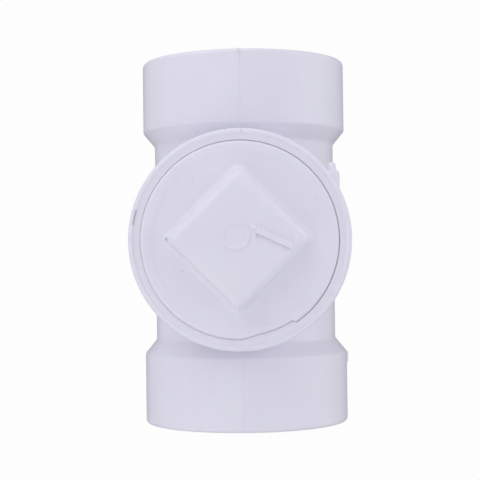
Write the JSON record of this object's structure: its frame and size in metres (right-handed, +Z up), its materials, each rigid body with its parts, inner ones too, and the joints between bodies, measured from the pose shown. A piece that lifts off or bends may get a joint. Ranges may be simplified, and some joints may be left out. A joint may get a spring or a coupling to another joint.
{
  "type": "cleanout tee",
  "caption": "Upright drain tee in rigid plastic with a pipe socket at each end of the run, and a round front boss closed by a threaded plug with a raised square head.",
  "frame": {"origin": "middle of the overall box, on the plane that the lower socket's end stands on", "axes": "+Z up along the run, -Y out through the cleanout plug, +X to the right seen from the plug's side"},
  "size_m": [0.1286, 0.154, 0.225],
  "materials": {
    "tee_pvc": "satin",
    "plug_pvc": "satin"
  },
  "bodies": {
    "tee": {"tee_body": "tee_pvc"},
    "plug": {"cleanout_plug": "plug_pvc"}
  },
  "joints": [
    {"name": "plug_unscrew", "type": "slide", "parent": "tee", "child": "plug", "axis": [0, -1, 0], "range_m": [0, 0.04]}
  ]
}
